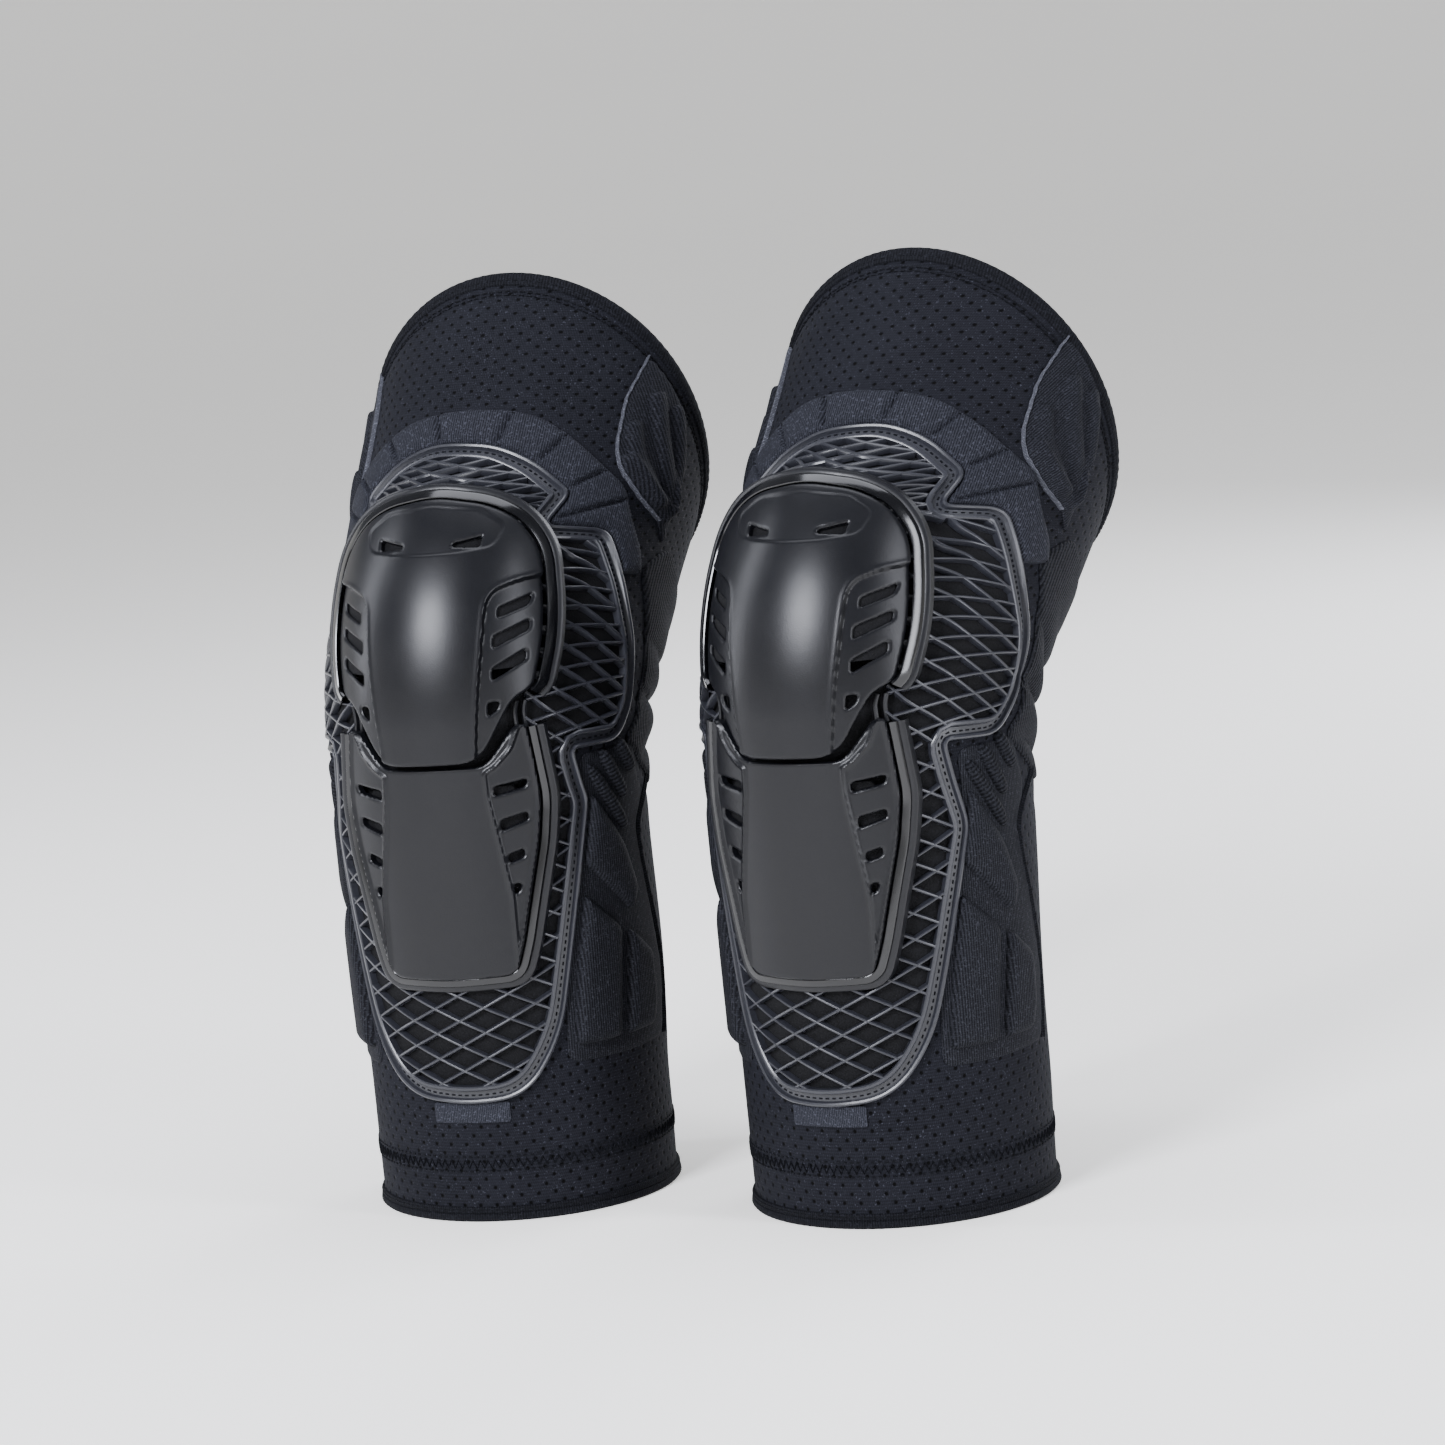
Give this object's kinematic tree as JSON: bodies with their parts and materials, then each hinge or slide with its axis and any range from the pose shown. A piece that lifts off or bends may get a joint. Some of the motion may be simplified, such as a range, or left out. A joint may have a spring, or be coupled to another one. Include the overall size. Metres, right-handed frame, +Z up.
{
  "type": "knee guards",
  "caption": "Pair of mirrored pre-curved knee guards: perforated sleeves with a floating vented knee cap, a vented shin plate and a flexible diamond lattice web; each bends at the knee.",
  "frame": {"origin": "centre of the pair on the surface that both lower hems stand on", "axes": "+Z up along the shins, fronts of both guards towards -Y, +X from the left guard to the right guard"},
  "size_m": [0.339, 0.2046, 0.382],
  "materials": {
    "neoprene": "perforated neoprene with a fine knit face",
    "binding": "folded elastic binding with cover stitch",
    "silicone": "silicone grip",
    "shell": "satin moulded plastic, fine grain",
    "gloss_rim": "glossy bevelled rim",
    "foam": "black impact foam",
    "pad_knit": "jersey laminated on foam",
    "label": "plain woven tab",
    "web": "soft moulded plastic, semi-gloss",
    "stretch_knit": "ribbed stretch knit",
    "wing_knit": "knit wing with a raw cut edge"
  },
  "bodies": {
    "left_shin": {"left_shin_sleeve": "neoprene", "left_shin_hem_binding": "binding", "left_shin_grip_band": "silicone", "left_shin_plate": "shell", "left_shin_plate_rim": "gloss_rim", "left_shin_foam": "foam", "left_shin_side_pad_medial": "pad_knit", "left_shin_side_pad_lateral": "pad_knit", "left_label_tab": "label"},
    "left_cap": {"left_knee_sleeve": "neoprene", "left_lattice_web": "web", "left_knee_cap": "shell", "left_knee_cap_rim": "gloss_rim", "left_knee_foam": "foam", "left_knee_panel_medial": "stretch_knit", "left_knee_panel_lateral": "stretch_knit"},
    "left_thigh": {"left_thigh_sleeve": "neoprene", "left_thigh_hem_binding": "binding", "left_thigh_grip_band": "silicone", "left_thigh_wing_medial": "wing_knit", "left_thigh_wing_lateral": "wing_knit", "left_thigh_bib_pad": "pad_knit"},
    "right_shin": {"right_shin_sleeve": "neoprene", "right_shin_hem_binding": "binding", "right_shin_grip_band": "silicone", "right_shin_plate": "shell", "right_shin_plate_rim": "gloss_rim", "right_shin_foam": "foam", "right_shin_side_pad_medial": "pad_knit", "right_shin_side_pad_lateral": "pad_knit", "right_label_tab": "label"},
    "right_cap": {"right_knee_sleeve": "neoprene", "right_lattice_web": "web", "right_knee_cap": "shell", "right_knee_cap_rim": "gloss_rim", "right_knee_foam": "foam", "right_knee_panel_medial": "stretch_knit", "right_knee_panel_lateral": "stretch_knit"},
    "right_thigh": {"right_thigh_sleeve": "neoprene", "right_thigh_hem_binding": "binding", "right_thigh_grip_band": "silicone", "right_thigh_wing_medial": "wing_knit", "right_thigh_wing_lateral": "wing_knit", "right_thigh_bib_pad": "pad_knit"}
  },
  "joints": [
    {"name": "guards_apart", "type": "slide", "parent": "left_shin", "child": "right_shin", "axis": [1, 0, 0], "range_m": [0, 0.15]},
    {"name": "left_shin_to_cap", "type": "hinge", "parent": "left_shin", "child": "left_cap", "pos_m": [-0.08527, -0.02539, 0.182], "axis": [-0.9954, -0.0958, 0], "range_deg": [-15, 26.4], "stiffness_Nm_per_rad": 6, "deforming": ["left_knee_sleeve", "left_lattice_web", "left_knee_panel_medial", "left_knee_panel_lateral"]},
    {"name": "left_cap_to_thigh", "type": "hinge", "parent": "left_cap", "child": "left_thigh", "pos_m": [-0.08527, -0.02539, 0.216], "axis": [-0.9954, -0.0958, 0], "range_deg": [-10, 17.6], "stiffness_Nm_per_rad": 9},
    {"name": "right_shin_to_cap", "type": "hinge", "parent": "right_shin", "child": "right_cap", "pos_m": [0.08527, -0.02539, 0.182], "axis": [-0.9954, 0.0958, 0], "range_deg": [-15, 26.4], "stiffness_Nm_per_rad": 6, "deforming": ["right_knee_sleeve", "right_lattice_web", "right_knee_panel_medial", "right_knee_panel_lateral"]},
    {"name": "right_cap_to_thigh", "type": "hinge", "parent": "right_cap", "child": "right_thigh", "pos_m": [0.08527, -0.02539, 0.216], "axis": [-0.9954, 0.0958, 0], "range_deg": [-10, 17.6], "stiffness_Nm_per_rad": 9}
  ],
  "couplings": [
    {"joint": "left_cap_to_thigh", "follows": "left_shin_to_cap", "ratio": 0.66667},
    {"joint": "right_cap_to_thigh", "follows": "right_shin_to_cap", "ratio": 0.66667}
  ]
}
